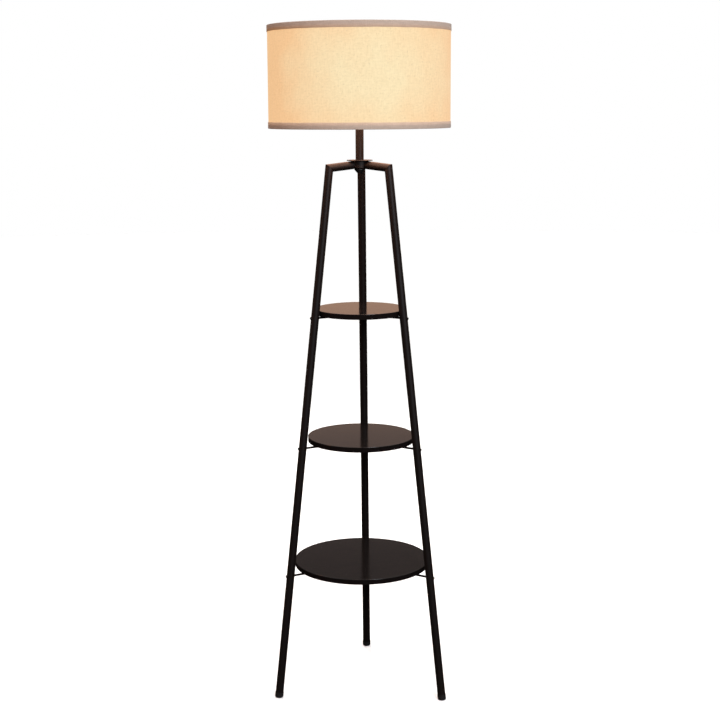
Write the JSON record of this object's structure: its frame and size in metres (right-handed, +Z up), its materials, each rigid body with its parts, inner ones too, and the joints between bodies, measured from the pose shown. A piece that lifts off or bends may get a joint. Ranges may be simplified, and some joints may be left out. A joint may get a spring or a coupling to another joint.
{
  "type": "shelf floor lamp",
  "caption": "Tripod floor lamp with a linen drum shade, slanting black tube legs and round black shelves between them that grow wider towards the floor.",
  "frame": {"origin": "the point of the floor under the pole, in the middle of the tripod's foot circle", "axes": "+Z up along the pole, +Y towards the back leg, so the two front legs and the front of the lamp face -Y"},
  "size_m": [0.4, 0.4235, 1.5],
  "materials": {
    "black_rubber": "matt moulded rubber",
    "black_steel": "satin black powder coat",
    "black_board": "board with a smooth black semi-gloss foil",
    "zinc_steel": "zinc plated",
    "black_plastic": "moulded phenolic plastic",
    "brass": "bare stamped brass",
    "ceramic": "white glazed porcelain",
    "tin": "rolled nickel-plated metal",
    "white_plastic": "moulded white plastic",
    "opal_dome": "opal diffusing dome, lit",
    "linen": "slubby linen weave, glowing warm",
    "linen_trim": "doubled linen ribbon",
    "liner_film": "white laminated shade film",
    "white_wire": "white coated wire"
  },
  "bodies": {
    "stand": {"foot_cap_back": "black_rubber", "lower_leg_back": "black_steel", "middle_leg_back": "black_steel", "upper_leg_back": "black_steel", "arm_back": "black_steel", "bottom_support_back": "black_steel", "middle_support_back": "black_steel", "top_support_back": "black_steel", "foot_cap_left": "black_rubber", "lower_leg_left": "black_steel", "middle_leg_left": "black_steel", "upper_leg_left": "black_steel", "arm_left": "black_steel", "bottom_support_left": "black_steel", "middle_support_left": "black_steel", "top_support_left": "black_steel", "foot_cap_right": "black_rubber", "lower_leg_right": "black_steel", "middle_leg_right": "black_steel", "upper_leg_right": "black_steel", "arm_right": "black_steel", "bottom_support_right": "black_steel", "middle_support_right": "black_steel", "top_support_right": "black_steel", "bottom_shelf": "black_board", "middle_shelf": "black_board", "top_shelf": "black_board", "hub_body": "black_steel", "hub_cover": "black_steel", "pole": "black_steel", "leg_screws": "black_steel", "leg_inserts": "zinc_steel", "leg_studs": "zinc_steel", "board_screws": "zinc_steel", "arm_grub_screws": "zinc_steel", "lamp_pipe": "zinc_steel", "cord_gland": "black_plastic", "socket_cap": "black_plastic", "socket_body": "black_plastic", "switch_block": "black_plastic", "centre_contact": "brass", "screw_shell": "brass", "socket_insulator": "ceramic"},
    "switch": {"switch_spindle": "brass", "switch_knob": "black_plastic"},
    "bulb": {"bulb_contact": "tin", "bulb_cap": "tin", "bulb_housing": "white_plastic", "bulb_diffuser": "opal_dome"},
    "shade": {"shade_fabric": "linen", "shade_liner": "liner_film", "top_trim": "linen_trim", "bottom_trim": "linen_trim", "upper_wire_ring": "white_wire", "lower_wire_ring": "white_wire", "fitter_ring": "white_wire", "fitter_spoke_back": "white_wire", "fitter_spoke_left": "white_wire", "fitter_spoke_right": "white_wire"},
    "ring_nut": {"shade_ring_nut": "black_plastic"}
  },
  "joints": [
    {"name": "switch_turn", "type": "hinge", "parent": "stand", "child": "switch", "pos_m": [0, -0.031, 1.3135], "axis": [0, -1, 0], "continuous": true},
    {"name": "bulb_unscrew", "type": "hinge", "parent": "stand", "child": "bulb", "pos_m": [0, 0, 1.3387], "axis": [0, 0, 1], "range_deg": [0, 1440]},
    {"name": "shade_lift", "type": "slide", "parent": "stand", "child": "shade", "axis": [0, 0, 1], "range_m": [0, 0.025]},
    {"name": "ring_nut_turn", "type": "hinge", "parent": "shade", "child": "ring_nut", "pos_m": [0, 0, 1.3289], "axis": [0, 0, 1], "continuous": true}
  ]
}
